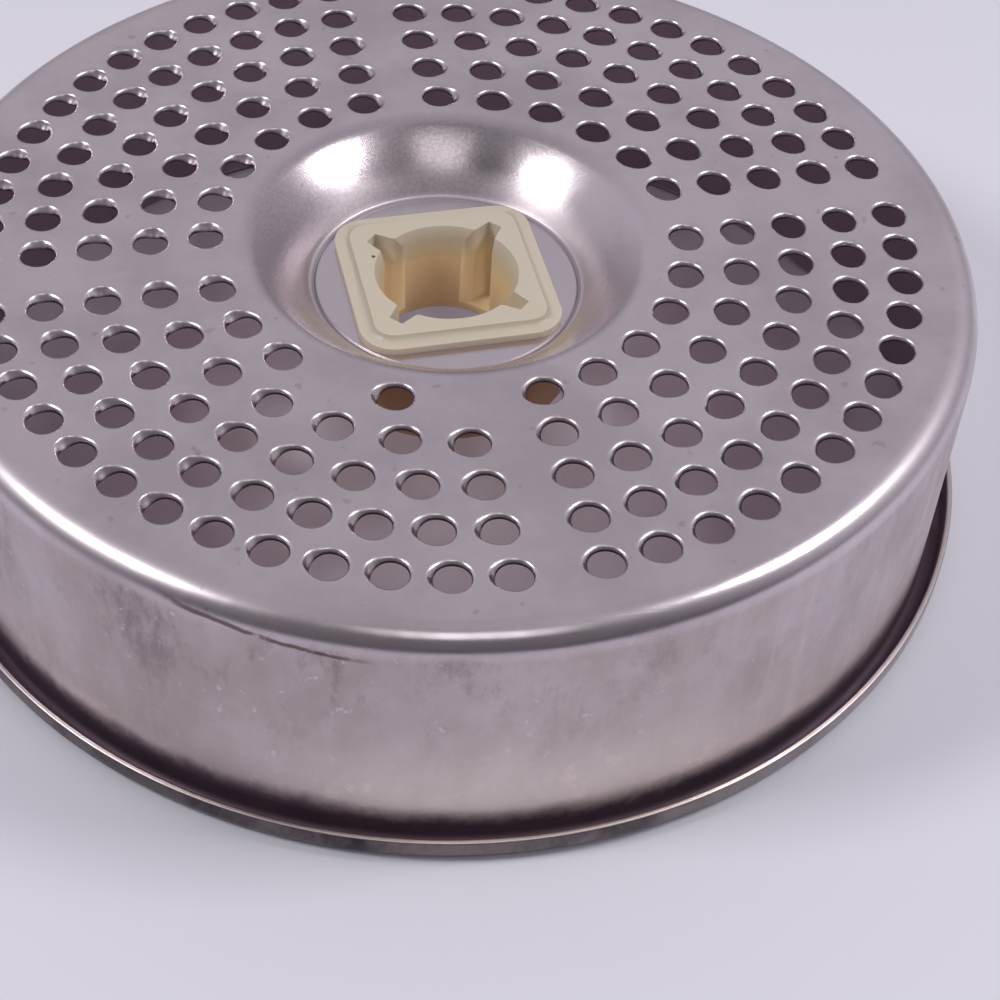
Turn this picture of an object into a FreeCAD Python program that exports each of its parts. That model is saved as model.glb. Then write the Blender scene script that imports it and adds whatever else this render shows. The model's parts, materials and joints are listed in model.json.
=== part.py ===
import FreeCAD, Part
import math
import os

import Sketcher
from FreeCAD import Vector

# Juicer strainer drum, standing on its open rim: a perforated sheet-metal drum and the
# plastic drive hub that is moulded through the floor of its dish.
# Millimetres. The origin is on the axis, at the surface the rim stands on, and +Z is up.
# The blank strips between the four quarters of the hole field lie on the X and Y axes.

DIMENSIONS = {
    # the drum's sheet, wall and rim
    "sheet_thickness": 0.8,
    "overall_height": 36.4,
    "wall_radius": 68.7,
    "top_bend_radius": 3.4,
    "hem_gap": 2.0,
    "hem_height": 3.6,
    # the dish in the middle of the top
    "dish_mouth_radius": 26.0,
    "dish_floor_radius": 18.0,
    "dish_depth": 7.5,
    "dish_shoulder_radius": 3.0,
    # the hole field
    "hole_diameter": 4.7,
    "inner_ring_radius": 31.0,
    "ring_pitch": 7.0,
    "strip_width": 10.5,
    # the hub's head and neck
    "head_width": 26.5,
    "head_corner_radius": 4.5,
    "head_height": 1.0,
    "land_width": 22.6,
    "land_corner_radius": 2.6,
    "land_height": 0.6,
    "neck_width": 22.0,
    "neck_corner_radius": 3.0,
    "moulding_gap": 0.05,
    # the hub's body, bore and keyways
    "body_radius": 17.5,
    "body_length": 11.2,
    "bore_radius": 8.8,
    "lead_in_width": 0.7,
    "keyway_reach": 12.0,
    "keyway_root_width": 3.4,
    "keyway_tip_width": 2.0,
    "keyway_floor": 1.2,
    "keyway_blend_radius": 2.4,
}

# Places for holes in one quarter of the field, ring by ring from the innermost outwards.
RING_PLACES = (6, 7, 9, 11, 13)

# Runs of holes: ring, first place, step from place to place, holes in the run, quarters that have it.
# One quarter has two unpunched places in its innermost ring.
HOLE_RUNS = (
    (0, 0, 1, 3, 4),
    (0, 4, 1, 1, 4),
    (0, 3, 2, 2, 3),
    (1, 0, 1, 7, 4),
    (2, 0, 1, 9, 4),
    (3, 0, 1, 11, 4),
    (4, 0, 1, 13, 4),
)

# A punched hole is drawn with flat sides that keep the open area of the round one.
HOLE_SIDES = 8
SIDE_TURN = 2 * math.pi / HOLE_SIDES
CORNER_REACH = math.sqrt(SIDE_TURN / math.sin(SIDE_TURN)) / 2

# Bends of the sheet are drawn with this many flats.
TOP_BEND_FLAT_COUNT = 3
SHOULDER_FLAT_COUNT = 1
HEM_OUTSIDE_FLAT_COUNT = 4
HEM_INSIDE_FLAT_COUNT = 2

# The keyways point to the corners of the square head.
KEYWAYS = 4
KEYWAY_TURN = 45

# Sketches start small, about one unit in size, and their constraints then pull them out to the real sizes.
UP = Vector(0, 0, 1)
QUARTER_TURNS = (0, 90, 180, 270)
DRAWN_HALF = 2

# Two places this close, in millimetres, are the same place.
SAME_PLACE = 0.1

# Heights that several features share, as expressions on the sheet.
HEM_CENTRE = "(Size.sheet_thickness + Size.hem_gap / 2)"
DISH_FLOOR = "(Size.overall_height - Size.dish_depth)"
DISH_SLOPE = "atan2(Size.dish_depth; Size.dish_mouth_radius - Size.dish_floor_radius)"
DISH_UNDERSIDE = f"({DISH_FLOOR} - Size.sheet_thickness)"
HEAD_TOP = f"({DISH_FLOOR} + Size.head_height)"
LAND_TOP = f"({HEAD_TOP} + Size.land_height)"
HUB_HEIGHT = "(Size.body_length + Size.sheet_thickness + Size.head_height + Size.land_height)"

doc = FreeCAD.newDocument("juicer_strainer_drum")
sheet = doc.addObject("Spreadsheet::Sheet", "Size")
for row, (alias, number) in enumerate(DIMENSIONS.items(), start=1):
    sheet.set(f"A{row}", alias)
    sheet.set(f"B{row}", str(number))
    sheet.setAlias(f"B{row}", alias)
doc.recompute()


def new_body(label):
    body = doc.addObject("PartDesign::Body", label)
    body.Label = label
    return body


def new_sketch(body, name, plane="XY_Plane", height=None):
    """A sketch on one of the body's origin planes, lifted to a height."""
    sketch = body.newObject("Sketcher::SketchObject", name)
    support = next(item for item in body.Origin.OriginFeatures if item.Role == plane)
    sketch.AttachmentSupport = (support, "")
    sketch.MapMode = "FlatFace"
    if height:
        sketch.setExpression("AttachmentOffset.Base.z", height)
    return sketch


def fix(sketch, kind, *refs):
    sketch.addConstraint(Sketcher.Constraint(kind, *refs))


def bind(sketch, expression, kind, *refs, drawn=1.0):
    """A driving constraint that starts as drawn and then takes its value from the sheet."""
    index = sketch.addConstraint(Sketcher.Constraint(kind, *refs, drawn))
    sketch.setExpression(f"Constraints[{index}]", expression)


def add_circle(sketch, radius):
    """A circle about the axis."""
    geo = sketch.addGeometry(Part.Circle())
    fix(sketch, "Coincident", geo, 3, -1, 1)
    bind(sketch, radius, "Radius", geo)


def drawn_corners(count):
    """Corners of a small regular outline that lies clear of both axes."""
    middle = Vector(DRAWN_HALF, DRAWN_HALF, 0)
    turn = 360 / count
    return [middle + FreeCAD.Rotation(UP, turn * place).multVec(Vector(1, 0, 0)) for place in range(count)]


def add_outline(sketch, corners):
    """A closed outline of straight sides, drawn small and then pulled to the corners given for it."""
    drawn = drawn_corners(len(corners))
    lines = [Part.LineSegment(start, end) for start, end in zip(drawn, drawn[1:] + drawn[:1])]
    rules = []
    values = {}
    for side, (across, up) in enumerate(corners):
        before = (side - 1) % len(corners)
        rules.append(Sketcher.Constraint("Coincident", before, 2, side, 1))
        if across:
            values[len(rules)] = across
            rules.append(Sketcher.Constraint("DistanceX", -1, 1, side, 1, drawn[side].x))
        else:
            rules.append(Sketcher.Constraint("PointOnObject", side, 1, -2))
        values[len(rules)] = up
        rules.append(Sketcher.Constraint("DistanceY", -1, 1, side, 1, drawn[side].y))
    sketch.addGeometry(lines)
    sketch.addConstraint(rules)
    for index, expression in values.items():
        sketch.setExpression(f"Constraints[{index}]", expression)


def bend(across, up, radius, start, sweep, flats):
    """Corners of a bend of the sheet about a centre, from a start angle through a sweep."""
    angles = [f"({start} + {sweep} * {step} / {flats})" for step in range(flats + 1)]
    return [(f"{across} + {radius} * cos({angle})", f"{up} + {radius} * sin({angle})") for angle in angles]


def add_rounded_square(sketch, width, corner):
    """A square about the axis with rounded corners: right, back, left and front sides."""
    sides = []
    for turn in QUARTER_TURNS:
        rotation = FreeCAD.Rotation(UP, turn)
        start = rotation.multVec(Vector(DRAWN_HALF, -1, 0))
        end = rotation.multVec(Vector(DRAWN_HALF, 1, 0))
        sides.append(sketch.addGeometry(Part.LineSegment(start, end)))
    for index, turn in enumerate(QUARTER_TURNS):
        centre = FreeCAD.Rotation(UP, turn).multVec(Vector(1, 1, 0))
        begin = math.radians(turn)
        round_edge = Part.ArcOfCircle(Part.Circle(centre, UP, 1), begin, begin + math.pi / 2)
        arc = sketch.addGeometry(round_edge)
        fix(sketch, "Tangent", sides[index], 2, arc, 1)
        fix(sketch, "Tangent", arc, 2, sides[(index + 1) % len(sides)], 1)
        bind(sketch, corner, "Radius", arc)
    half = f"{width} / 2"
    right, back, left, front = sides
    for side in (right, left):
        fix(sketch, "Vertical", side)
    for side in (back, front):
        fix(sketch, "Horizontal", side)
    bind(sketch, half, "DistanceX", -1, 1, right, 1, drawn=DRAWN_HALF)
    bind(sketch, half, "DistanceY", -1, 1, back, 1, drawn=DRAWN_HALF)
    bind(sketch, half, "DistanceX", left, 1, -1, 1, drawn=DRAWN_HALF)
    bind(sketch, half, "DistanceY", front, 1, -1, 1, drawn=DRAWN_HALF)


def pad(body, sketch, name, length):
    feature = body.newObject("PartDesign::Pad", name)
    feature.Profile = sketch
    feature.setExpression("Length", length)
    doc.recompute()
    return feature


def pocket(body, sketch, name, depth):
    """A cut from the sketch downwards."""
    feature = body.newObject("PartDesign::Pocket", name)
    feature.Profile = sketch
    feature.setExpression("Length", depth)
    doc.recompute()
    return feature


def turn_copies(body, feature, name, *turns):
    """Copies of a feature about the axis: each turn has the angle between copies and their number."""
    steps = []
    for number, (angle, copies) in enumerate(turns, start=1):
        step = doc.addObject("PartDesign::PolarPattern", f"{name}_turn_{number}")
        step.Axis = (feature.Profile[0], ["N_Axis"])
        step.Mode = "Spacing"
        step.setExpression("Offset", angle)
        step.Occurrences = copies
        steps.append(step)
    pattern = body.newObject("PartDesign::MultiTransform", name)
    pattern.Originals = [feature]
    pattern.Transformations = steps
    body.Tip = pattern
    doc.recompute()
    return pattern


def revolve(body, sketch, name, kind):
    """A full turn of a section about the axis, as a PartDesign::Revolution or PartDesign::Groove."""
    feature = body.newObject(kind, name)
    feature.Profile = sketch
    feature.ReferenceAxis = (sketch, ["V_Axis"])
    doc.recompute()
    return feature


def add_form(sketch):
    """Section of the drum's outside, filled to the axis: wall, top bend, top, shoulder and dish."""
    bend_centre = "Size.wall_radius - Size.top_bend_radius"
    shoulder_centre = f"Size.dish_mouth_radius + Size.dish_shoulder_radius * tan({DISH_SLOPE} / 2)"
    add_outline(sketch, [
        (None, HEM_CENTRE),
        ("Size.wall_radius", HEM_CENTRE),
        *bend(bend_centre, "Size.overall_height - Size.top_bend_radius", "Size.top_bend_radius",
              "0 deg", "90 deg", TOP_BEND_FLAT_COUNT),
        *bend(shoulder_centre, "Size.overall_height - Size.dish_shoulder_radius", "Size.dish_shoulder_radius",
              "90 deg", DISH_SLOPE, SHOULDER_FLAT_COUNT),
        ("Size.dish_floor_radius", DISH_FLOOR),
        (None, DISH_FLOOR),
    ])


def add_hem(sketch):
    """Section of the rim: the sheet turned outwards and up again, with the lip that ends it."""
    centre = "Size.wall_radius + Size.hem_gap / 2"
    inside = "Size.hem_gap / 2"
    outside = f"({inside} + Size.sheet_thickness)"
    add_outline(sketch, [
        *bend(centre, HEM_CENTRE, outside, "180 deg", "180 deg", HEM_OUTSIDE_FLAT_COUNT),
        (f"{centre} + {outside}", "Size.hem_height"),
        (f"{centre} + {inside}", "Size.hem_height"),
        *bend(centre, HEM_CENTRE, inside, "360 deg", "-180 deg", HEM_INSIDE_FLAT_COUNT),
    ])


def make_punches(name, ring, first, step, holes, quarters):
    """Punches for a run of holes, from the quarter right of -Y on. A ring is even from strip to strip."""
    reach = f"(Size.inner_ring_radius + {ring} * Size.ring_pitch)"
    margin = f"asin(Size.strip_width / 2 / {reach})"
    spacing = f"((90 deg - 2 * {margin}) / {RING_PLACES[ring] - 1})"
    angle = f"({margin} - 90 deg + {spacing} * {first})"
    radius = f"Size.hole_diameter * {CORNER_REACH}"
    corners = bend(f"{reach} * cos({angle})", f"{reach} * sin({angle})", radius, angle, "360 deg", HOLE_SIDES)
    body = new_body(name)
    body.AllowCompound = True
    outline = new_sketch(body, f"{name}_outline", height="Size.overall_height - 2 * Size.sheet_thickness")
    add_outline(outline, corners[1:])
    punch = pad(body, outline, f"{name}_first", "3 * Size.sheet_thickness")
    turn_copies(body, punch, f"{name}_all", (f"{spacing} * {step}", holes), ("90 deg", quarters))
    return body


def add_keyway(sketch):
    """A tapering slot that opens into the bore, drawn along X from half the bore's radius outwards."""
    tip = "Size.keyway_tip_width / 2"
    taper = "(Size.keyway_root_width - Size.keyway_tip_width) / 2 / (Size.keyway_reach - Size.bore_radius)"
    inner = f"({tip} + {taper} * (Size.keyway_reach - Size.bore_radius / 2))"
    add_outline(sketch, [
        ("Size.bore_radius / 2", f"-{inner}"),
        ("Size.keyway_reach", f"-({tip})"),
        ("Size.keyway_reach", tip),
        ("Size.bore_radius / 2", inner),
    ])


def is_blended(edge):
    """True for the upright edges where a keyway runs out smoothly into the front or the back of the bore."""
    box = edge.BoundBox
    upright = max(box.XLength, box.YLength) < SAME_PLACE < box.ZLength
    at_bore = abs(math.hypot(box.Center.x, box.Center.y) - sheet.bore_radius) < SAME_PLACE
    return upright and at_bore and abs(box.Center.y) > abs(box.Center.x)


def make_drum():
    """One pressed and spun sheet: perforated top with a dish, wall and turned-up hem."""
    body = new_body("strainer_drum")
    section = new_sketch(body, "drum_section", plane="XZ_Plane")
    add_form(section)
    form = revolve(body, section, "drum_form", "PartDesign::Revolution")

    shell = body.newObject("PartDesign::Thickness", "sheet_metal")
    faces = form.Shape.Faces
    underside = min(range(len(faces)), key=lambda index: faces[index].CenterOfMass.z)
    shell.Base = (form, [f"Face{underside + 1}"])
    shell.Reversed = True
    shell.Join = "Intersection"
    shell.setExpression("Value", "Size.sheet_thickness")
    doc.recompute()

    hem_section = new_sketch(body, "hem_section", plane="XZ_Plane")
    add_hem(hem_section)
    revolve(body, hem_section, "hem", "PartDesign::Revolution")

    window = new_sketch(body, "hub_window_outline", height=DISH_FLOOR)
    add_rounded_square(window, "Size.neck_width", "Size.neck_corner_radius")
    pocket(body, window, "hub_window", "2 * Size.sheet_thickness")

    punches = [make_punches(f"punches_{number}", *run) for number, run in enumerate(HOLE_RUNS, start=1)]
    hole_field = body.newObject("PartDesign::Boolean", "hole_field")
    hole_field.Type = "Cut"
    hole_field.Group = punches
    hole_field.Refine = False
    body.Tip = hole_field
    doc.recompute()
    return body


def make_hub():
    """The hub moulded through the dish floor: body below, neck in the sheet, head above."""
    body = new_body("drive_hub")
    round_outline = new_sketch(body, "body_outline", height=f"{DISH_UNDERSIDE} - Size.body_length")
    add_circle(round_outline, "Size.body_radius")
    pad(body, round_outline, "round_body", "Size.body_length")

    neck = new_sketch(body, "neck_outline", height=DISH_UNDERSIDE)
    add_rounded_square(neck, "(Size.neck_width - 2 * Size.moulding_gap)",
                       "Size.neck_corner_radius - Size.moulding_gap")
    pad(body, neck, "neck", "Size.sheet_thickness")

    head = new_sketch(body, "head_outline", height=DISH_FLOOR)
    add_rounded_square(head, "Size.head_width", "Size.head_corner_radius")
    pad(body, head, "head", "Size.head_height")

    land = new_sketch(body, "land_outline", height=HEAD_TOP)
    add_rounded_square(land, "Size.land_width", "Size.land_corner_radius")
    pad(body, land, "land", "Size.land_height")

    bore_outline = new_sketch(body, "bore_outline", height=LAND_TOP)
    add_circle(bore_outline, "Size.bore_radius")
    pocket(body, bore_outline, "bore", HUB_HEIGHT)

    keyway_outline = new_sketch(body, "keyway_outline", height=LAND_TOP)
    keyway_outline.AttachmentOffset.Rotation = FreeCAD.Rotation(UP, KEYWAY_TURN)
    add_keyway(keyway_outline)
    keyway = pocket(body, keyway_outline, "keyway", f"{HUB_HEIGHT} - Size.keyway_floor")
    keyways = turn_copies(body, keyway, "keyways", ("90 deg", KEYWAYS))

    blend = body.newObject("PartDesign::Fillet", "keyway_blends")
    edges = enumerate(keyways.Shape.Edges, start=1)
    blend.Base = (keyways, [f"Edge{number}" for number, edge in edges if is_blended(edge)])
    blend.setExpression("Radius", "Size.keyway_blend_radius")
    doc.recompute()

    lead_in_section = new_sketch(body, "lead_in_section", plane="XZ_Plane")
    add_outline(lead_in_section, [
        (None, DISH_FLOOR),
        ("Size.bore_radius", DISH_FLOOR),
        ("Size.bore_radius + Size.lead_in_width", LAND_TOP),
        (None, LAND_TOP),
    ])
    revolve(body, lead_in_section, "lead_in", "PartDesign::Groove")
    return body


def check(bodies):
    for item in doc.Objects:
        if "Invalid" in item.State or "Error" in item.State:
            raise RuntimeError(f"{item.Name} failed: {item.State}")
    for body in bodies:
        if body.Shape.isNull() or not body.Shape.isValid():
            raise RuntimeError(f"{body.Label} has no valid shape")


bodies = [make_drum(), make_hub()]
doc.recompute()
check(bodies)
os.makedirs("parts", exist_ok=True)
for body in bodies:
    body.Shape.exportStep(f"parts/{body.Label}.step")
    box = body.Shape.BoundBox
    print(f"{body.Label}: {len(body.Shape.Solids)} solid, {body.Shape.Volume:.1f} mm3, "
          f"{box.XLength:.2f} x {box.YLength:.2f} x {box.ZLength:.2f} mm")
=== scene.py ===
# %% [markdown]
# # A juicer's mesh screen
# The object is a drum of thin stainless sheet that stands on its open rim. Its flat top is punched full of
# holes, its middle is pressed down into a dish, and an ivory plastic hub is moulded through the dish.
# The frame brings in the measured solids. Everything here is built around them, in metres, with +Z up.

# %% Frame
import json
import math
from types import SimpleNamespace

import bmesh
import bpy
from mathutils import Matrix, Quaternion, Vector

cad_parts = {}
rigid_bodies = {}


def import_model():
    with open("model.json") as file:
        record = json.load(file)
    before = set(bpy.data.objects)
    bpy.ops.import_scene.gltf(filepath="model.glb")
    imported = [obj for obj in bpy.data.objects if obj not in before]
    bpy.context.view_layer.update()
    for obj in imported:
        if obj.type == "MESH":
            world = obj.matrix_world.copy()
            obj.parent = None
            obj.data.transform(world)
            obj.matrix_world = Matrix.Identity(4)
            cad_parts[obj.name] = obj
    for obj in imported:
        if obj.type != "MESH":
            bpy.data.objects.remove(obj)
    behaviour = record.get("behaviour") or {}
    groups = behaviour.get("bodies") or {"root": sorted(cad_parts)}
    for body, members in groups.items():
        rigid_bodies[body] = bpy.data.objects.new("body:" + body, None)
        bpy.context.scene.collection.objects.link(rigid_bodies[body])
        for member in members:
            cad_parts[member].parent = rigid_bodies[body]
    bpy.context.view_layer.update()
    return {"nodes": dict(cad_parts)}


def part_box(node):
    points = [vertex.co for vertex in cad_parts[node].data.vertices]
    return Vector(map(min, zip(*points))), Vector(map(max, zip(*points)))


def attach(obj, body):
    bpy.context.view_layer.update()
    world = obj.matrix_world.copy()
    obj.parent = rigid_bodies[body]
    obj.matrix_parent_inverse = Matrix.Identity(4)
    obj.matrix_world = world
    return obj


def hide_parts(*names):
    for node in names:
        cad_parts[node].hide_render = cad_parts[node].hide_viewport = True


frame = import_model()
print("nodes:", sorted(frame["nodes"]))

# %% [markdown]
# ## Sizes
# The frame gives the overall reach and height, so the drum follows the solid if that is changed. The sizes
# that lie between are those of the pressing itself: the sheet's thickness, its bend and the flat top. They
# could be measured on the solid's mesh, but as named values they are easier to read and to try out.

# %% Sizes of the drum
MM = 0.001
drum_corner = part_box("strainer_drum")[1]
RIM_REACH = drum_corner[1]
TOP = drum_corner[2]
SHEET = 0.8 * MM
HEM_HEIGHT = 3.6 * MM
WALL_REACH = 68.7 * MM
BEND = 3.4 * MM
PLATE_INNER = 27.5 * MM
PLATE_OUTER = WALL_REACH - BEND
print(f"flat top from {PLATE_INNER / MM:.1f} to {PLATE_OUTER / MM:.1f} mm, {TOP / MM:.1f} mm above the table")

# %% [markdown]
# ## A small language for nodes
# Materials and the hole field are node trees. They could be drawn by hand in the editor, but a script can be
# read and changed in one place. A tree is easier to read as sums than as a list of links, so a socket is
# wrapped in a class with the usual operators, and every other node comes from one method.


# %% Node helpers
class Socket:
    """A socket of a node tree. Arithmetic on it adds Math nodes."""

    def __init__(self, tree, socket):
        self.tree = tree
        self.socket = socket

    def math(self, operation, *others):
        return self.tree.number(operation, self, *others)

    def output(self, name):
        return Socket(self.tree, self.socket.node.outputs[name])

    def __add__(self, other):
        return self.math("ADD", other)

    def __sub__(self, other):
        return self.math("SUBTRACT", other)

    def __mul__(self, other):
        return self.math("MULTIPLY", other)

    def __truediv__(self, other):
        return self.math("DIVIDE", other)

    def __radd__(self, other):
        return self.tree.number("ADD", other, self)

    def __rsub__(self, other):
        return self.tree.number("SUBTRACT", other, self)

    def __rmul__(self, other):
        return self.tree.number("MULTIPLY", other, self)

    def __rtruediv__(self, other):
        return self.tree.number("DIVIDE", other, self)


class Tree:
    """A node tree that adds nodes by type, settings and the values or links of their sockets."""

    def __init__(self, nodes):
        self.nodes = nodes

    def put(self, target, value):
        if isinstance(value, Socket):
            self.nodes.links.new(value.socket, target)
        elif isinstance(value, list):
            for item in value:
                self.nodes.links.new(item.socket, target)
        else:
            target.default_value = value

    def add(self, kind, settings=None, inputs=None, output=0):
        node = self.nodes.nodes.new(kind)
        for name, value in (settings or {}).items():
            setattr(node, name, value)
        for key, value in (inputs or {}).items():
            self.put(node.inputs[key], value)
        return Socket(self, node.outputs[output]) if node.outputs else None

    def number(self, operation, *values):
        return self.add("ShaderNodeMath", {"operation": operation}, dict(enumerate(values)))


print("node helpers ready")

# %% [markdown]
# ## The bend, the wall and the rim
# The drum is one pressed sheet, so its section is the same all round. The section runs as a loop: over the
# bend, down the wall, through the channel of the rim, over the lip and back along the sheet's other face.
# Arcs give the round stretches, and the straight wall lies between the ends of two arcs.

# %% Section of the rim
BEND_STEPS = 10
CHANNEL_STEPS = 10
LIP_STEPS = 4
HEM_STEPS = 14
INNER_BEND_STEPS = 8


def arc(across, up, radius, start, end, steps):
    """Points of an arc in the section, with angles in degrees."""
    turns = [math.radians(start + (end - start) * step / steps) for step in range(steps + 1)]
    return [(across + radius * math.cos(turn), up + radius * math.sin(turn)) for turn in turns]


HEM_ROUND = (RIM_REACH - WALL_REACH + SHEET) / 2
HEM_CENTRE = (RIM_REACH - HEM_ROUND, HEM_ROUND)
LIP_ROUND = 0.3 * MM
LIP_CENTRE = HEM_HEIGHT - LIP_ROUND
rim_section = [
    *arc(PLATE_OUTER, TOP - BEND, BEND, 90, 0, BEND_STEPS),
    *arc(*HEM_CENTRE, HEM_ROUND - SHEET, 180, 360, CHANNEL_STEPS),
    *arc(RIM_REACH - SHEET + LIP_ROUND, LIP_CENTRE, LIP_ROUND, 180, 90, LIP_STEPS),
    *arc(RIM_REACH - LIP_ROUND, LIP_CENTRE, LIP_ROUND, 90, 0, LIP_STEPS),
    *arc(*HEM_CENTRE, HEM_ROUND, 360, 180, HEM_STEPS),
    *arc(PLATE_OUTER, TOP - BEND, BEND - SHEET, 0, 90, INNER_BEND_STEPS),
]
print(f"{len(rim_section)} points in the rim's section")

# %% [markdown]
# ## The dish
# The press draws the top down over a soft shoulder into a slope that grows steeper towards the floor. A
# straight cone would be simpler, but it draws a reflected window out into a fan, and on the real dish such
# highlights are round. So the slope is an arc of a large radius, and a coined groove runs round the floor.

# %% Section of the dish
DISH_DEPTH = 7.5 * MM
FLOOR = TOP - DISH_DEPTH
SHOULDER = 4.5 * MM
SHOULDER_STEPS = 10
SLOPE_START = math.radians(36)
SLOPE_END = math.radians(52)
SLOPE_STEPS = 8
CREASE = 0.5 * MM
CREASE_STEPS = 5
CREASE_SHARE = 1.5
GROOVE_WIDTH = 0.6 * MM
GROOVE_MIDDLE = 0.4 * MM
GROOVE_DEPTH = 0.2 * MM

steep = math.degrees(SLOPE_END)
slope_fall = DISH_DEPTH - SHOULDER * (1 - math.cos(SLOPE_START))
SLOPE_ROUND = slope_fall / (math.cos(SLOPE_START) - math.cos(SLOPE_END))
slope_shift = SLOPE_ROUND - SHOULDER
slope_centre = (
    PLATE_INNER + slope_shift * math.sin(SLOPE_START),
    TOP - SHOULDER - slope_shift * math.cos(SLOPE_START),
)
floor_reach = slope_centre[0] - SLOPE_ROUND * math.sin(SLOPE_END)
crease_reach = floor_reach - CREASE * math.tan(SLOPE_END / 2)


def slope_points(inset):
    """The shoulder and the gently bent slope, from the flat top down to the crease."""
    start = 90 + math.degrees(SLOPE_START)
    shoulder = arc(PLATE_INNER, TOP - SHOULDER, SHOULDER - inset, 90, start, SHOULDER_STEPS)
    slope = arc(*slope_centre, SLOPE_ROUND - inset, start, 90 + steep - CREASE_SHARE, SLOPE_STEPS)
    return shoulder + slope[1:]


dish_section = [
    *slope_points(SHEET),
    *arc(crease_reach, FLOOR + CREASE, CREASE + SHEET, steep - 90, -90, CREASE_STEPS),
    (None, FLOOR - SHEET),
    (None, FLOOR),
    (crease_reach - GROOVE_WIDTH, FLOOR),
    (crease_reach - GROOVE_MIDDLE, FLOOR - GROOVE_DEPTH),
    *arc(crease_reach, FLOOR + CREASE, CREASE, -90, steep - 90, CREASE_STEPS),
    *reversed(slope_points(0)),
]
print(f"{len(dish_section)} points in the dish's section, with a floor of {crease_reach / MM:.1f} mm radius")

# %% [markdown]
# ## Turning the sections
# Blender's Screw modifier turns a section round an axis. Here the hole in the dish's floor is square and all
# else is round, so a short function turns the sections and lets one pair of rings follow the square. The flat
# top between the two sections stays open, for the hole field.

# %% Turned sheet
ROUND_SEGMENTS = 256
WINDOW_HALF = 11.0 * MM
WINDOW_CORNER = 3.0 * MM


def window_reach(turn):
    """Distance from the axis to the rounded square window, in one direction."""
    across, along = sorted((abs(math.cos(turn)), abs(math.sin(turn))), reverse=True)
    straight = WINDOW_HALF / across
    core = WINDOW_HALF - WINDOW_CORNER
    if straight * along <= core:
        return straight
    towards = core * (across + along)
    return towards + math.sqrt(towards * towards - 2 * core * core + WINDOW_CORNER * WINDOW_CORNER)


def join_rings(mesh, rings):
    """Smooth four-sided faces from each closed ring of points to the next."""
    for here, there in zip(rings, rings[1:]):
        for step in range(len(here)):
            after = (step + 1) % len(here)
            face = mesh.faces.new((here[after], here[step], there[step], there[after]))
            face.smooth = True


def add_turned(mesh, section):
    """Adds a section turned round the axis. A point without a reach follows the square window."""
    rings = []
    for reach, height in section:
        ring = []
        for step in range(ROUND_SEGMENTS):
            turn = 2 * math.pi * step / ROUND_SEGMENTS
            out = window_reach(turn) if reach is None else reach
            ring.append(mesh.verts.new((out * math.cos(turn), out * math.sin(turn), height)))
        rings.append(ring)
    join_rings(mesh, rings)


def new_object(name, mesh):
    """An object at the origin that holds a finished bmesh."""
    data = bpy.data.meshes.new(name)
    mesh.to_mesh(data)
    mesh.free()
    made = bpy.data.objects.new(name, data)
    bpy.context.scene.collection.objects.link(made)
    return made


sheet_mesh = bmesh.new()
add_turned(sheet_mesh, rim_section)
add_turned(sheet_mesh, dish_section)
drum = new_object("perforated_drum", sheet_mesh)
print(f"turned sheet: {len(drum.data.polygons)} faces")

# %% [markdown]
# ## One punched hole
# The punch rolls the edge of each hole down. On the clockwise side it bends the sheet from further out, so
# that the edge hangs lower there, as a scraping tooth. A bevelled hole could not show that, so a hole is a
# set of rings around its centre: flat at first, over the rolled edge, down through the sheet, and back out
# along the underside. The tooth only lowers and widens the rings on its own side. No two teeth are alike, so
# three holes are made that differ a little. Each ring also carries a number for painted shade on the cut
# edge, for the material.

# %% Rolled holes with their teeth
COLLAR = 3.3 * MM
HOLE_SEGMENTS = 24
TOOTH_SPREAD = math.radians(64)
# How far each of the three teeth widens its hole and hangs below it.
TOOTH_BENDS = ((0.40 * MM, 0.26 * MM), (0.48 * MM, 0.34 * MM), (0.54 * MM, 0.42 * MM))
# Reach and height of the rings in millimetres, the shares of the tooth's bends in each, and its painted
# shade.
HOLE_RINGS = (
    (3.30, 0.0, 0.0, 0.0, 0.0),
    (3.02, 0.0, 0.10, 0.03, 0.0),
    (2.69, -0.02, 0.50, 0.15, 0.0),
    (2.47, -0.09, 0.72, 0.40, 0.0),
    (2.31, -0.22, 0.75, 0.70, 0.0),
    (2.20, -0.42, 0.50, 0.95, 0.1),
    (2.15, -0.66, 0.10, 1.0, 1.0),
    (2.19, -0.80, 0.0, 1.0, 1.0),
    (2.65, -0.80, 0.3, 0.6, 0.5),
    (3.30, -0.80, 0.0, 0.0, 0.0),
)


def tooth_share(turn):
    """How far the sheet is bent at an angle from the middle of the tooth."""
    away = abs((turn + math.pi) % (2 * math.pi) - math.pi) / TOOTH_SPREAD
    return math.cos(min(away, 1.0) * math.pi / 2) ** 2


hole_shapes = bpy.data.collections.new("hole_shapes")
for number, (widen, lower) in enumerate(TOOTH_BENDS, start=1):
    hole_mesh = bmesh.new()
    edge_shade_layer = hole_mesh.verts.layers.float.new("edge_shade")
    rings = []
    for reach, height, widened, lowered, edge_shade in HOLE_RINGS:
        ring = []
        for step in range(HOLE_SEGMENTS):
            turn = 2 * math.pi * step / HOLE_SEGMENTS
            bent = tooth_share(turn)
            out = reach * MM + widen * widened * bent
            up = height * MM - lower * lowered * bent
            point = hole_mesh.verts.new((out * math.cos(turn), out * math.sin(turn), up))
            point[edge_shade_layer] = edge_shade
            ring.append(point)
        rings.append(ring[::-1])
    join_rings(hole_mesh, rings)
    hole_shapes.objects.link(new_object(f"rolled_hole_{number}", hole_mesh))

# %% [markdown]
# ## Places of the holes
# The holes stand on five rings in four quarters, with blank strips between the quarters, and each ring is
# evenly spaced from strip to strip. An Array modifier knows no such strips. In Geometry Nodes the number of
# a point is enough: it tells the quarter and the place in it, and from there the angle. Two places of the
# innermost ring were never punched.

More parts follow.
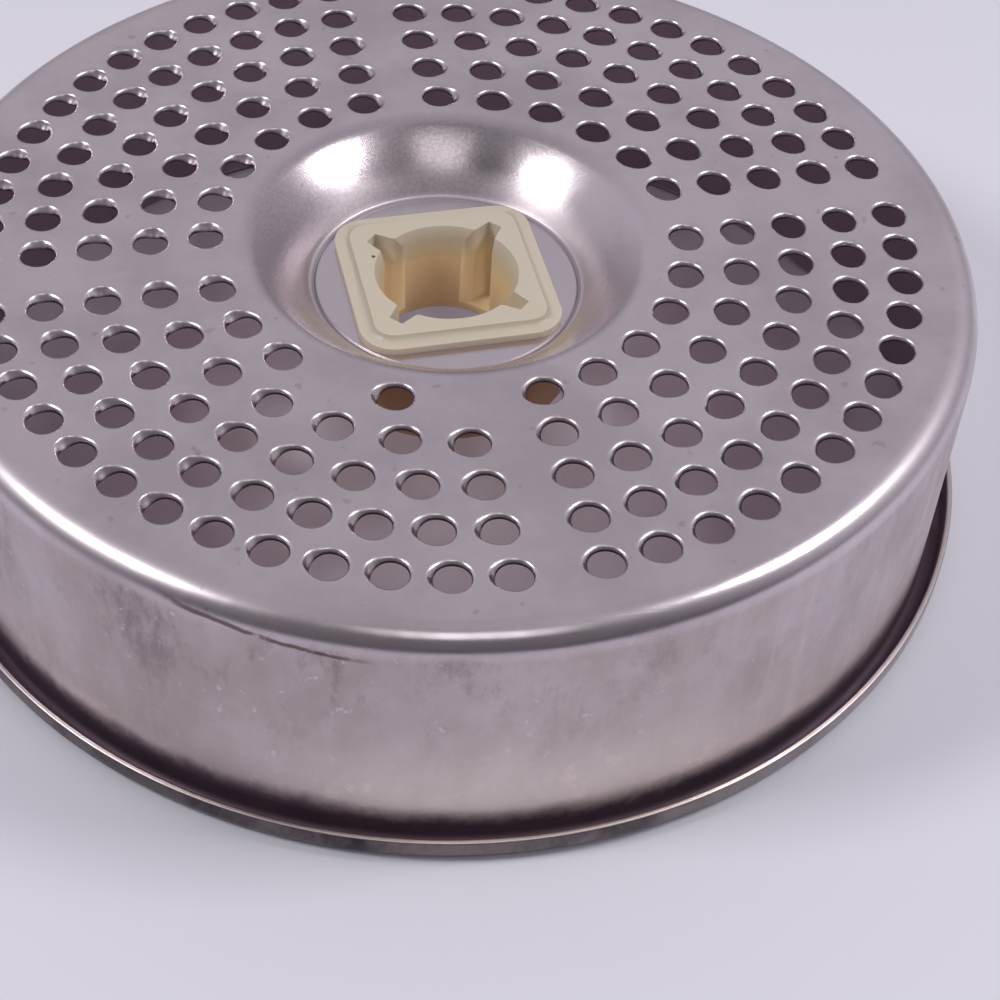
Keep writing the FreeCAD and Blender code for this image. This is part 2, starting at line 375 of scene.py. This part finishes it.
# %% Points of the hole field
RING_PLACES = (6, 7, 9, 11, 13)
QUARTERS = 4
QUARTER_TURN = math.pi / 2
UNPUNCHED = {0: (21, 23)}
SAME_INDEX = 0.5


def ring_points(tree, sizes, ring, places):
    """Points of one ring: the index gives the quarter and the place in it."""
    index = tree.add("GeometryNodeInputIndex")
    reach = sizes["Inner ring"] + sizes["Ring pitch"] * ring
    margin = (sizes["Strip width"] / 2 / reach).math("ARCSINE")
    quarter = (index / places).math("FLOOR")
    place = index - quarter * places
    turn = (quarter - 1) * QUARTER_TURN + margin + (QUARTER_TURN - 2 * margin) * place / (places - 1)
    position = tree.add("ShaderNodeCombineXYZ", None, {
        "X": reach * turn.math("COSINE"),
        "Y": reach * turn.math("SINE"),
    })
    points = tree.add("GeometryNodePoints", None, {"Count": places * QUARTERS, "Position": position})
    for skipped in sorted(UNPUNCHED.get(ring, ()), reverse=True):
        chosen = tree.add("GeometryNodeInputIndex").math("COMPARE", skipped, SAME_INDEX)
        points = tree.add("GeometryNodeDeleteGeometry", {"domain": "POINT"}, {0: points, "Selection": chosen})
    return points


punched = QUARTERS * sum(RING_PLACES) - sum(len(places) for places in UNPUNCHED.values())
print(f"{punched} holes on {len(RING_PLACES)} rings")

# %% [markdown]
# ## Holes on their places
# Every point gets one of the three holes, turned so that its tooth lies on the clockwise side. Two seeded
# random numbers pick the hole and turn it a little more, because a punch wears and a row of twins looks
# false. The same function also puts the circles on the points that cut the flat top.

# %% Shapes on the points
TURN_SEED = 4
SHAPE_SEED = 11


def on_points(tree, sizes, points, shape, pick=False):
    """A shape on every point, turned so that its own +X is about the clockwise way round the axis."""
    parts = tree.add("ShaderNodeSeparateXYZ", None, {"Vector": tree.add("GeometryNodeInputPosition")})
    spread = sizes["Turn spread"]
    limits = {2: -1 * spread, 3: spread, "Seed": TURN_SEED}
    stray = tree.add("FunctionNodeRandomValue", None, limits, output=1)
    turn = parts.output("Y").math("ARCTAN2", parts.output("X")) - QUARTER_TURN + stray
    chance = tree.add("FunctionNodeRandomValue", {"data_type": "INT"}, {
        4: 0, 5: len(TOOTH_BENDS) - 1, "Seed": SHAPE_SEED,
    }, output=2)
    placed = tree.add("GeometryNodeInstanceOnPoints", None, {
        "Points": points,
        "Instance": shape,
        "Pick Instance": pick,
        "Instance Index": chance,
        "Rotation": tree.add("ShaderNodeCombineXYZ", None, {"Z": turn}),
    })
    return tree.add("GeometryNodeRealizeInstances", None, {"Geometry": placed})


print(f"seeds: {TURN_SEED} turns the holes and {SHAPE_SEED} picks them")

# %% [markdown]
# ## The punched top
# Cutting each hole with a Boolean would be slow and would leave ragged faces. Here the flat top is filled
# between curves instead: its two rims and a circle round every hole. The rolled holes then drop into the
# circles, and all is merged into one closed sheet. Sharply turning edges, such as the cut ones, stay sharp.

# %% Tree of the hole field
FIELD_SIZES = {
    "Top height": TOP,
    "Sheet thickness": SHEET,
    "Inner ring": 31.0 * MM,
    "Ring pitch": 7.0 * MM,
    "Strip width": 10.5 * MM,
    "Collar": COLLAR,
    "Flat from": PLATE_INNER,
    "Flat to": PLATE_OUTER,
    "Turn spread": math.radians(9),
}
WELD = 0.002 * MM
SHARP_ANGLE = math.radians(38)


def lifted(tree, geometry, height):
    shift = tree.add("ShaderNodeCombineXYZ", None, {"Z": height})
    return tree.add("GeometryNodeTransform", None, {"Geometry": geometry, "Translation": shift})


def circle(tree, radius, segments):
    return tree.add("GeometryNodeCurvePrimitiveCircle", None, {"Resolution": segments, "Radius": radius})


def hole_field_tree(material):
    """The tree: joins the turned sheet with the punched flat top and its holes."""
    group = bpy.data.node_groups.new("hole_field", "GeometryNodeTree")
    group.interface.new_socket("Geometry", in_out="INPUT", socket_type="NodeSocketGeometry")
    for name in FIELD_SIZES:
        group.interface.new_socket(name, in_out="INPUT", socket_type="NodeSocketFloat")
    group.interface.new_socket("Hole shapes", in_out="INPUT", socket_type="NodeSocketCollection")
    group.interface.new_socket("Geometry", in_out="OUTPUT", socket_type="NodeSocketGeometry")
    tree = Tree(group)
    entry = tree.add("NodeGroupInput")
    sizes = {name: entry.output(name) for name in FIELD_SIZES}

    rings = [ring_points(tree, sizes, ring, places) for ring, places in enumerate(RING_PLACES)]
    points = tree.add("GeometryNodeJoinGeometry", None, {0: rings})
    outlines = [circle(tree, sizes[name], ROUND_SEGMENTS) for name in ("Flat from", "Flat to")]
    outlines.append(on_points(tree, sizes, points, circle(tree, sizes["Collar"], HOLE_SEGMENTS)))
    curves = tree.add("GeometryNodeJoinGeometry", None, {0: outlines})
    flat = tree.add("GeometryNodeFillCurve", None, {0: curves})
    flat = tree.add("GeometryNodeSetShadeSmooth", None, {0: flat, "Shade Smooth": False})
    shapes = tree.add("GeometryNodeCollectionInfo", None, {
        "Collection": entry.output("Hole shapes"), "Separate Children": True, "Reset Children": True,
    })
    top = sizes["Top height"]
    pieces = [
        lifted(tree, flat, top),
        lifted(tree, tree.add("GeometryNodeFlipFaces", None, {0: flat}), top - sizes["Sheet thickness"]),
        lifted(tree, on_points(tree, sizes, points, shapes, pick=True), top),
        entry.output("Geometry"),
    ]
    sheet = tree.add("GeometryNodeJoinGeometry", None, {0: pieces})
    sheet = tree.add("GeometryNodeMergeByDistance", None, {"Geometry": sheet, "Distance": WELD})
    angle = tree.add("GeometryNodeInputMeshEdgeAngle", None, None, output="Unsigned Angle")
    sheet = tree.add("GeometryNodeSetShadeSmooth", {"domain": "EDGE"}, {
        0: sheet, "Selection": angle.math("GREATER_THAN", SHARP_ANGLE), "Shade Smooth": False,
    })
    sheet = tree.add("GeometryNodeRealizeInstances", None, {"Geometry": sheet})
    sheet = tree.add("GeometryNodeSetMaterial", None, {"Geometry": sheet, "Material": material})
    tree.add("NodeGroupOutput", None, {"Geometry": sheet})
    return group


print("inputs of the tree:", ", ".join(FIELD_SIZES))

# %% [markdown]
# ## Tools for the finishes
# Both finishes are worked out from where a point lies on the object: its distance from the axis, its bearing
# and its height. That needs no unwrapping and has no seams. A ramp makes such a value a mask from 0 to 1,
# and noise breaks the masks up, so that nothing ends on a ruled line.


# %% Helpers for materials
def new_material(name):
    material = bpy.data.materials.new(name)
    material.use_nodes = True
    return material, Tree(material.node_tree), material.node_tree.nodes["Principled BSDF"]


def mixed(tree, factor, first, second):
    """A colour between two colours."""
    return tree.add("ShaderNodeMix", {"data_type": "RGBA"}, {0: factor, 6: first, 7: second}, output=2)


def noise(tree, scale, detail=3.0, roughness=0.55, stretch=(1.0, 1.0, 1.0), turn=0.0):
    """Noise from 0 to 1 in the object's coordinates, in waves per metre."""
    place = tree.add("ShaderNodeTexCoord", None, None, output="Object")
    place = tree.add("ShaderNodeMapping", None, {
        "Vector": place, "Rotation": (0.0, 0.0, math.radians(turn)), "Scale": stretch,
    })
    return tree.add("ShaderNodeTexNoise", None, {
        "Vector": place, "Scale": scale, "Detail": detail, "Roughness": roughness,
    })


def ramp(tree, value, low, high):
    """0 at low, 1 at high and smooth between. It falls instead where low is above high."""
    start, end = (low, high) if low < high else (high, low)
    rising = tree.add("ShaderNodeMapRange", {"interpolation_type": "SMOOTHSTEP"}, {
        "Value": value, "From Min": start, "From Max": end,
    })
    return rising if low < high else 1 - rising


def cylinder_place(tree):
    """Distance from the axis in mm, bearing in degrees with the front at -90, and height in mm."""
    place = tree.add("ShaderNodeTexCoord", None, None, output="Object")
    parts = tree.add("ShaderNodeSeparateXYZ", None, {"Vector": place})
    across = parts.output("X") / MM
    along = parts.output("Y") / MM
    reach = (across * across + along * along).math("SQRT")
    bearing = along.math("ARCTAN2", across) * (180 / math.pi)
    return reach, bearing, parts.output("Z") / MM


def near(tree, bearing, centre, none, full):
    """1 close to a bearing and 0 far from it, with the limits in degrees away from it."""
    away = ((bearing - centre) * (math.pi / 180)).math("COSINE")
    return ramp(tree, away, math.cos(math.radians(none)), math.cos(math.radians(full)))


print("material helpers ready")

# %% [markdown]
# ## Marks on the steel
# Rolled stainless is never even. It has dull clouds, and use adds smears, specks, pits and scuffs. They could
# be painted on an image, but noise is sharp at any distance. Each noise is made steeper by a ramp, so that it
# reads as separate marks, and a stretched noise gives scuffs and streaks.

# %% Noises of the steel
# Waves per metre, the noise's other settings, and the levels at which a mark starts and is full.
STEEL_MARKS = {
    "clouds": (45.0, {"detail": 5.0, "roughness": 0.65}, (0.36, 0.66)),
    "blotches": (110.0, {"detail": 7.0, "roughness": 0.7, "stretch": (1.0, 1.0, 0.6)}, (0.36, 0.68)),
    "smears": (75.0, {"detail": 8.0, "roughness": 0.75, "stretch": (1.0, 1.0, 0.45)}, (0.48, 0.66)),
    "patches": (170.0, {"detail": 8.0, "roughness": 0.78}, (0.52, 0.70)),
    "specks": (620.0, {"detail": 2.0}, (0.66, 0.76)),
    "pits": (480.0, {"detail": 1.0}, (0.73, 0.79)),
    "scuffs": (
        60.0,
        {"detail": 5.0, "roughness": 0.7, "stretch": (1.0, 16.0, 1.0), "turn": 24.0},
        (0.55, 0.75),
    ),
    "streaks": (420.0, {"stretch": (1.0, 1.0, 0.07)}, (0.54, 0.70)),
    "rust_grains": (420.0, {}, (0.3, 0.5)),
    "film_clouds": (160.0, {"detail": 4.0}, (0.3, 0.6)),
}
GRAIN_SCALE = 2300.0

steel, tree, surface = new_material("satin_steel")
reach, bearing, height = cylinder_place(tree)
mark = SimpleNamespace(**{
    name: ramp(tree, noise(tree, scale, **settings), *levels)
    for name, (scale, settings, levels) in STEEL_MARKS.items()
})
grain = noise(tree, GRAIN_SCALE, detail=2.0)
print("marks on the steel:", ", ".join(STEEL_MARKS))

# %% [markdown]
# ## Zones of the steel
# The marks lie in zones. The wall is hazy and the dish keeps some of its press shine. Other zones hold
# painted
# light and shade: the wall is darker high up and lighter low down and at the front, the inside of the drum,
# the lip and the back of the dish are darker, and the dish's floor is lighter. A zone could be a material of
# its own, but then it would end on an edge of a face. As a mask it fades out, between limits from the axis,
# above the table or round the drum.

# %% Zones of the steel
# Limits from none to full: out is mm from the axis, up is mm above the table. Around is a bearing, and the
# degrees from it at which the zone has ended and at which it is still full.
STEEL_ZONES = {
    "wall": {"out": [(68.2, 68.4)], "up": [(34.8, 32.6)]},
    "wall_high": {"up": [(10.0, 32.0)]},
    "wall_low": {"up": [(24.0, 7.0)]},
    "wall_shaded": {"around": (-121.0, 26.0, 6.0)},
    "wall_pale": {"around": (-92.0, 30.0, 5.0)},
    "wall_smeared": {"around": (-135.0, 70.0, 30.0)},
    "wall_streaked": {"around": (-40.0, 45.0, 20.0)},
    "inside": {"out": [(60.0, 65.0), (68.15, 67.98)], "up": [(34.0, 32.0)]},
    "bend": {"out": [(64.5, 66.0)], "up": [(32.5, 33.5)]},
    "bend_polished": {"around": (-90.0, 45.0, 15.0)},
    "dish": {"out": [(27.5, 24.5)]},
    "dish_worn": {"out": [(27.5, 24.5), (17.7, 18.5)], "around": (110.0, 95.0, 40.0)},
    "dish_floor": {"out": [(17.2, 16.8)]},
    "groove": {"out": [(17.05, 17.25), (17.85, 17.6)]},
    "crease": {"out": [(21.5, 18.6), (16.8, 17.2)]},
    "film": {"out": [(17.6, 18.4), (25.0, 19.5)], "around": (-97.0, 85.0, 40.0)},
    "lip": {"out": [(70.75, 71.0)], "up": [(3.6, 3.4)]},
    "lip_dark": {"around": (-125.0, 80.0, 30.0)},
    "channel": {"out": [(68.4, 68.65), (70.62, 70.5)]},
    "channel_full": {"around": (-145.0, 50.0, 15.0)},
    "rust": {"out": [(60.0, 64.0)], "around": (-119.5, 11.5, 6.0)},
}


def zone_mask(out=(), up=(), around=None):
    """One zone of the steel: the product of its ramps."""
    ramps = [ramp(tree, reach, *limits) for limits in out]
    ramps += [ramp(tree, height, *limits) for limits in up]
    if around:
        ramps.append(near(tree, bearing, *around))
    return math.prod(ramps[1:], start=ramps[0])


zone = SimpleNamespace(**{name: zone_mask(**limits) for name, limits in STEEL_ZONES.items()})
print("zones of the steel:", ", ".join(STEEL_ZONES))

# %% [markdown]
# ## Painted shade, rust and film
# Four marks need more than a zone. Painted shade fills the channel and the foot of the wall up to a ragged
# line. Rust follows a slanting line where the bend meets the wall, so it is made from the distance to that
# line. A yellowish film lies in front of the hub. The cut edges of the holes are painted dark as shade. A
# zone could not follow every tooth, so the shade number on the points of the holes says where.

# %% Painted shade, rust and film of the steel
SHADE_LINE_NOISE = 180.0
SHADE_LINE_RAGGED = 6.0
SHADE_LINE_EXTRA = 1.3
SHADE_LINE_LEVEL = (6.6, 2.6)
ragged = (noise(tree, SHADE_LINE_NOISE, detail=6.0, roughness=0.65) - 0.5) * SHADE_LINE_RAGGED
shade_line_height = height + ragged - SHADE_LINE_EXTRA * zone.channel_full
# Painted shade: the channel and the foot of the wall are dark up to a ragged line.
channel_painted_shade = zone.channel * ramp(tree, shade_line_height, *SHADE_LINE_LEVEL)

RUST_START = (-127.3, 34.33)
RUST_FALL = 0.113
RUST_NOISE = 260.0
RUST_WANDER = 0.9
RUST_WIDTH = (0.45, 0.12)
rust_height = RUST_START[1] - (bearing - RUST_START[0]) * RUST_FALL
wander = noise(tree, RUST_NOISE) * RUST_WANDER - RUST_WANDER / 2
off_line = (height - rust_height + wander).math("ABSOLUTE")
rust = ramp(tree, off_line, *RUST_WIDTH) * zone.rust * mark.rust_grains

film = zone.film * (0.5 + 0.5 * mark.film_clouds)
# The painted shade on the holes' cut edges comes from a number on their points.
cut = tree.add("ShaderNodeAttribute", {"attribute_name": "edge_shade"}, None, output="Fac")
print(f"rust line starts at bearing {RUST_START[0]} degrees, {RUST_START[1]} mm above the table")

# %% [markdown]
# ## Colour of the steel
# A metal's base colour is what it reflects, so a hazy or dirty zone is a darker or yellower base colour. The
# colour is laid on in layers from the clean sheet upwards. Each layer has a share, from 0 to 1, of how far it
# covers what lies under it.

# %% Colour of the steel
STEEL_LIGHT = (0.70, 0.625, 0.665, 1.0)
STEEL_DULL = (0.58, 0.51, 0.54, 1.0)
WALL_HAZE = (0.53, 0.46, 0.45, 1.0)
WALL_SMEARS_AND_SHADE = (0.25, 0.205, 0.21, 1.0)
WALL_LIGHT_AND_STREAKS = (0.80, 0.70, 0.65, 1.0)
LIP_PAINTED_SHADE = (0.05, 0.038, 0.05, 1.0)
DISH_BACK_SHADE = (0.36, 0.31, 0.34, 1.0)
INSIDE_PAINTED_SHADE = (0.38, 0.30, 0.36, 1.0)
CUT_SHADE = (0.13, 0.10, 0.12, 1.0)
GRIME_AND_SHADE = (0.17, 0.115, 0.16, 1.0)
RUST = (0.085, 0.04, 0.035, 1.0)
FILM = (0.66, 0.57, 0.42, 1.0)

smudges = mark.smears * (0.8 + 0.8 * zone.wall_smeared)
# Painted shade mixed with the smears: the wall is darker towards its top and round bearing -121.
smears_and_painted_shade = (0.12 + 0.26 * zone.wall_high) * (0.3 + smudges) + 0.2 * zone.wall_shaded
# Painted light: the wall is lighter towards its foot and at the front, broken up by pale patches.
painted_light_low = zone.wall_low * (0.15 + 0.5 * mark.patches + 0.5 * zone.wall_pale)
streaked = mark.streaks * (0.04 + 0.2 * zone.wall_streaked)
# Painted shade: the lip is darker all round, most at the front left, broken a little by blotches.
lip = zone.lip * (0.3 + 0.7 * zone.lip_dark)
steel_layers = (
    (mark.scuffs * 0.3, STEEL_DULL),
    (mark.pits * (1 - zone.dish) * 0.22, GRIME_AND_SHADE),
    # Painted shade dims the reflection at the back of the dish, mottled by the grain noise.
    (zone.dish_worn * (0.25 + 0.8 * grain), DISH_BACK_SHADE),
    # Painted light: the floor of the dish is made lighter.
    (zone.dish_floor * 0.9, STEEL_LIGHT),
    (zone.wall * (0.35 + 0.65 * mark.blotches), WALL_HAZE),
    (zone.wall * smears_and_painted_shade, WALL_SMEARS_AND_SHADE),
    (zone.wall * painted_light_low, WALL_LIGHT_AND_STREAKS),
    (zone.wall * streaked, WALL_LIGHT_AND_STREAKS),
    (zone.wall * mark.specks * 0.6, STEEL_LIGHT),
    (film * 0.85, FILM),
    # A darker line runs along the dish's groove.
    (zone.groove * 0.5, GRIME_AND_SHADE),
    (rust * 0.8, RUST),
    # Painted shade: the inside of the drum is darker.
    (zone.inside, INSIDE_PAINTED_SHADE),
    # Painted shade on the lower cut edges of the holes.
    (cut * 0.85, CUT_SHADE),
    (lip * (0.75 + 0.25 * mark.blotches), LIP_PAINTED_SHADE),
    # Painted shade in the channel and at the foot of the wall.
    (channel_painted_shade * 0.95, GRIME_AND_SHADE),
)
colour = mixed(tree, mark.clouds, STEEL_LIGHT, STEEL_DULL)
for share, layer in steel_layers:
    colour = mixed(tree, share, colour, layer)
tree.put(surface.inputs["Base Color"], colour)
surface.inputs["Metallic"].default_value = 1.0
print(f"steel: {len(steel_layers)} layers of colour over the clean sheet")

# %% [markdown]
# ## Shine of the steel
# Roughness decides how wide a highlight spreads. The dish is smoother than the top, the wall is duller where
# it is blotched, and the painted shade in the channel hardly shines at all. Two bumps finish it: long waves,
# because thin sheet is never quite flat, and in the dish the fine grain of the press. As real dents they
# would cost many faces.

# %% Roughness and bumps of the steel
WAVE_SCALE = 70.0
WAVE_STRENGTH = 0.12
WAVE_HEIGHT = 1.0 * MM
GRAIN_STRENGTH = 0.3
GRAIN_HEIGHT = 0.03 * MM

dullness = 0.28 + 0.07 * mark.clouds + 0.10 * zone.wall * mark.blotches + 0.06 * mark.scuffs
dullness = dullness + 0.1 * film + 0.35 * channel_painted_shade + 0.2 * zone.crease
shine = 0.06 * zone.dish + zone.bend * (0.15 * zone.bend_polished - 0.07)
tree.put(surface.inputs["Roughness"], dullness - shine)
waves = tree.add("ShaderNodeBump", None, {
    "Strength": WAVE_STRENGTH, "Distance": WAVE_HEIGHT, "Height": noise(tree, WAVE_SCALE),
})
bumps = tree.add("ShaderNodeBump", None, {
    "Strength": zone.dish * GRAIN_STRENGTH, "Distance": GRAIN_HEIGHT, "Height": grain, "Normal": waves,
})
tree.put(surface.inputs["Normal"], bumps)
print(f"steel: {len(steel.node_tree.nodes)} nodes")

# %% [markdown]
# ## Punching the drum
# The tree runs as a modifier on the turned sheet. The export wants plain meshes, so the result is taken from
# the evaluated object and the modifier is removed. A closed sheet has no open edges, and its volume tells
# whether the faces point outwards, so both are measured. Then the drum takes the solid's place.

# %% Punch the drum
def settle(thing, modifier):
    """Makes a modifier's result the object's own plain mesh."""
    evaluated = thing.evaluated_get(bpy.context.evaluated_depsgraph_get())
    result = bpy.data.meshes.new_from_object(evaluated)
    thing.modifiers.remove(modifier)
    thing.data = result


field = drum.modifiers.new("hole_field", "NODES")
field.node_group = hole_field_tree(steel)
for item in field.node_group.interface.items_tree:
    if item.in_out == "INPUT" and item.name in FIELD_SIZES:
        field[item.identifier] = FIELD_SIZES[item.name]
    elif item.in_out == "INPUT" and item.name == "Hole shapes":
        field[item.identifier] = hole_shapes
settle(drum, field)
for shape in list(hole_shapes.objects):
    bpy.data.objects.remove(shape)
bpy.data.collections.remove(hole_shapes)

drum_check = bmesh.new()
drum_check.from_mesh(drum.data)
open_edges = sum(1 for edge in drum_check.edges if not edge.is_manifold)
volume = drum_check.calc_volume() / MM**3
drum_check.free()
print(f"drum: {len(drum.data.polygons)} faces, {open_edges} open edges, {volume:.0f} mm3 of steel")
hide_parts("strainer_drum")
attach(drum, "root")

# %% [markdown]
# ## Ivory plastic
# The hub's plastic was ivory all over. Juice has stained the bore tan and the body inside the drum brown, and
# a dark speck sits on the land. Plastic lets light in a little way, so it has some subsurface scattering,
# which softens its shadows. A faint bump stands for the uneven skin of a moulding.

# %% Ivory plastic
IVORY = (0.615, 0.54, 0.435, 1.0)
STAINED = (0.74, 0.575, 0.32, 1.0)
BROWN = (0.66, 0.44, 0.21, 1.0)
SPECK = (0.06, 0.04, 0.03, 1.0)
# Limits from none to full, in mm and degrees.
HUB_TOP = 30.5
BORE_OUT = (12.8, 12.3)
STAIN_DEPTH = (0.3, 5.5)
BODY_OUT = (15.0, 16.5)
BODY_UP = (28.4, 28.0)
SPECK_REACH = 10.0
SPECK_BEARING = 152.7
SPECK_ACROSS = (0.28, 0.16)
SPECK_AROUND = (1.7, 0.9)
SPECK_UP = (30.2, 30.3)
STAIN_NOISE = 180.0
SKIN_NOISE = 260.0
SKIN_STRENGTH = 0.2
SKIN_HEIGHT = 0.4 * MM

ivory, tree, surface = new_material("ivory_plastic")
reach, bearing, height = cylinder_place(tree)
stains = noise(tree, STAIN_NOISE, detail=4.0)
bore = ramp(tree, reach, *BORE_OUT) * ramp(tree, HUB_TOP - height, *STAIN_DEPTH)
body = ramp(tree, reach, *BODY_OUT) * ramp(tree, height, *BODY_UP)
speck = ramp(tree, (reach - SPECK_REACH).math("ABSOLUTE"), *SPECK_ACROSS)
speck = speck * ramp(tree, (bearing - SPECK_BEARING).math("ABSOLUTE"), *SPECK_AROUND)
speck = speck * ramp(tree, height, *SPECK_UP)
colour = mixed(tree, bore * (0.7 + 0.4 * stains), IVORY, STAINED)
colour = mixed(tree, body, colour, BROWN)
colour = mixed(tree, speck, colour, SPECK)
tree.put(surface.inputs["Base Color"], colour)
tree.put(surface.inputs["Roughness"], 0.30 + 0.14 * stains)
surface.inputs["Subsurface Weight"].default_value = 0.25
surface.inputs["Subsurface Radius"].default_value = (1.0, 0.6, 0.3)
surface.inputs["Subsurface Scale"].default_value = 1.5 * MM
skin = tree.add("ShaderNodeBump", None, {
    "Strength": SKIN_STRENGTH, "Distance": SKIN_HEIGHT, "Height": noise(tree, SKIN_NOISE),
})
tree.put(surface.inputs["Normal"], skin)
print(f"ivory plastic: {len(ivory.node_tree.nodes)} nodes")

# %% [markdown]
# ## The hub
# The hub is moulded, so its edges are soft. It could be modelled again, but the measured solid has the right
# form already. A copy of it is welded, its flat faces are joined up, and a Bevel modifier rounds its outer
# edges. Weights on the edges pick which: those that turn outwards sharply, and less on the hidden body.

# %% Hub with soft edges
EDGE_ROUND = 0.5 * MM
EDGE_STEPS = 3
BEVEL_ANGLE = math.radians(30)
FLAT_ANGLE = math.radians(1)
LOW_EDGE_SHARE = 0.5

hub_mesh = bmesh.new()
hub_mesh.from_mesh(frame["nodes"]["drive_hub"].data)
bmesh.ops.remove_doubles(hub_mesh, verts=hub_mesh.verts, dist=WELD)
bmesh.ops.dissolve_limit(hub_mesh, angle_limit=FLAT_ANGLE, verts=hub_mesh.verts, edges=hub_mesh.edges)
for face in hub_mesh.faces:
    face.smooth = True
weights = hub_mesh.edges.layers.float.new("bevel_weight_edge")
for edge in hub_mesh.edges:
    if edge.is_convex and edge.calc_face_angle() > BEVEL_ANGLE:
        on_head = min(corner.co.z for corner in edge.verts) > FLOOR + SHEET / 2
        edge[weights] = 1.0 if on_head else LOW_EDGE_SHARE
hub = new_object("moulded_hub", hub_mesh)
rounding = hub.modifiers.new("soft_edges", "BEVEL")
rounding.width = EDGE_ROUND
rounding.segments = EDGE_STEPS
rounding.limit_method = "WEIGHT"
settle(hub, rounding)
hub.data.materials.clear()
hub.data.materials.append(ivory)
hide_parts("drive_hub")
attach(hub, "root")
print(f"hub: {len(hub.data.polygons)} faces")

# %% [markdown]
# ## Table
# The drum stands on a plain pale table. A modelled table would add nothing to the picture, so one large
# square is enough.

# %% Table
TABLE_SIZE = 6.0
TABLE_COLOUR = (0.80, 0.785, 0.86, 1.0)
TABLE_DULLNESS = 0.6
table_mesh = bmesh.new()
bmesh.ops.create_grid(table_mesh, x_segments=1, y_segments=1, size=TABLE_SIZE / 2)
table = new_object("table", table_mesh)
pale, tree, surface = new_material("pale_table")
surface.inputs["Base Color"].default_value = TABLE_COLOUR
surface.inputs["Roughness"].default_value = TABLE_DULLNESS
table.data.materials.append(pale)
print(f"table: {TABLE_SIZE:.0f} m square")

# %% [markdown]
# ## The room
# Steel shows its surroundings, so the room matters as much as the lamps. A picture of a room could light the
# scene, but a few gradients do: pale all round, darker on the camera's side, darker towards the horizon and a
# little darker overhead. Object coordinates in a world are the direction of view.

# %% Room
ROOM_BRIGHT = (0.525, 0.514, 0.56, 1.0)
ROOM_DIM = (0.17, 0.162, 0.18, 1.0)
DIM_BEARING = math.radians(-117)
DIM_LIMITS = (-0.2, 0.6)
HORIZON_SHARE = 0.55
HORIZON_LIMITS = (0.0, 0.45)
CEILING_LOSS = 0.12
CEILING_LIMITS = (0.55, 0.85)

world = bpy.data.worlds.new("room")
bpy.context.scene.world = world
world.use_nodes = True
tree = Tree(world.node_tree)
direction = tree.add("ShaderNodeSeparateXYZ", None, {
    "Vector": tree.add("ShaderNodeTexCoord", None, None, output="Object"),
})
facing = direction.output("X") * math.cos(DIM_BEARING) + direction.output("Y") * math.sin(DIM_BEARING)
room = mixed(tree, ramp(tree, facing, *DIM_LIMITS), ROOM_BRIGHT, ROOM_DIM)
rise = ramp(tree, direction.output("Z"), *HORIZON_LIMITS)
ceiling = ramp(tree, direction.output("Z"), *CEILING_LIMITS)
background = world.node_tree.nodes["Background"]
tree.put(background.inputs["Color"], room)
strength = HORIZON_SHARE + (1 - HORIZON_SHARE) * rise - CEILING_LOSS * ceiling
tree.put(background.inputs["Strength"], strength)
print(f"room: {len(world.node_tree.nodes)} nodes")

# %% [markdown]
# ## Windows and the light inside
# Three soft square lamps stand for windows. They show in the bend of the drum and in the dish, and their
# bearings and heights were found from where those highlights lie. Inside the drum, light bounces many more
# times than the renderer follows. A weak rosy lamp under the top stands for that, and lifts the tone there.

# %% Light
WINDOW_DISTANCE = 0.7
# Bearing and elevation in degrees, size in metres, power in watts.
WINDOWS = {
    "window_left": (181.0, 45.0, 0.17, 1.65),
    "window_right": (-12.0, 49.0, 0.19, 1.55),
    "window_front": (-95.0, 60.0, 0.26, 0.30),
}
GLOW_WIDTH = 100 * MM
GLOW_HEIGHT = 26 * MM
GLOW_COLOUR = (1.0, 0.5, 0.68)
GLOW_POWER = 0.003


def area_lamp(name, place, size, power):
    """A soft lamp at a place. It shines straight down until it is turned."""
    data = bpy.data.lights.new(name, "AREA")
    data.size = size
    data.energy = power
    lamp = bpy.data.objects.new(name, data)
    lamp.location = place
    bpy.context.scene.collection.objects.link(lamp)
    return lamp


top_middle = Vector((0.0, 0.0, TOP))
for name, (bearing, elevation, size, power) in WINDOWS.items():
    level = WINDOW_DISTANCE * math.cos(math.radians(elevation))
    away = Vector((
        level * math.cos(math.radians(bearing)),
        level * math.sin(math.radians(bearing)),
        WINDOW_DISTANCE * math.sin(math.radians(elevation)),
    ))
    window = area_lamp(name, top_middle + away, size, power)
    window.rotation_euler = (-away).to_track_quat("-Z", "Y").to_euler()
glow = area_lamp("glow_inside", (0.0, 0.0, GLOW_HEIGHT), GLOW_WIDTH, GLOW_POWER)
glow.data.shape = "DISK"
glow.data.color = GLOW_COLOUR
print(f"{len(WINDOWS)} windows and a glow of {GLOW_POWER} W inside the drum")

# %% [markdown]
# ## Camera
# The camera is close to the drum, which is why the near edge looms and the far edge falls back, and it is
# tilted a little. Its place, aim, tilt and lens were fitted to the rings of holes and the rim, so that the
# render can be laid over the photograph.

# %% Camera
CAMERA_PLACE = Vector((-49.8, -205.8, 205.9)) * MM
CAMERA_AIM = Vector((-4.0, -47.1, 36.0)) * MM
CAMERA_ROLL = math.radians(3.97)
LENS_LENGTH = 75.1
LENS_SHIFT = -0.0015
lens = bpy.data.cameras.new("camera")
lens.lens = LENS_LENGTH
lens.shift_x = LENS_SHIFT
camera = bpy.data.objects.new("camera", lens)
camera.location = CAMERA_PLACE
level_view = (CAMERA_AIM - CAMERA_PLACE).to_track_quat("-Z", "Y")
camera.rotation_euler = (level_view @ Quaternion((0, 0, 1), CAMERA_ROLL)).to_euler()
bpy.context.scene.collection.objects.link(camera)
bpy.context.scene.camera = camera
bpy.context.scene.view_settings.view_transform = "Standard"
print(f"camera: {(CAMERA_AIM - CAMERA_PLACE).length / MM:.0f} mm from what it aims at")
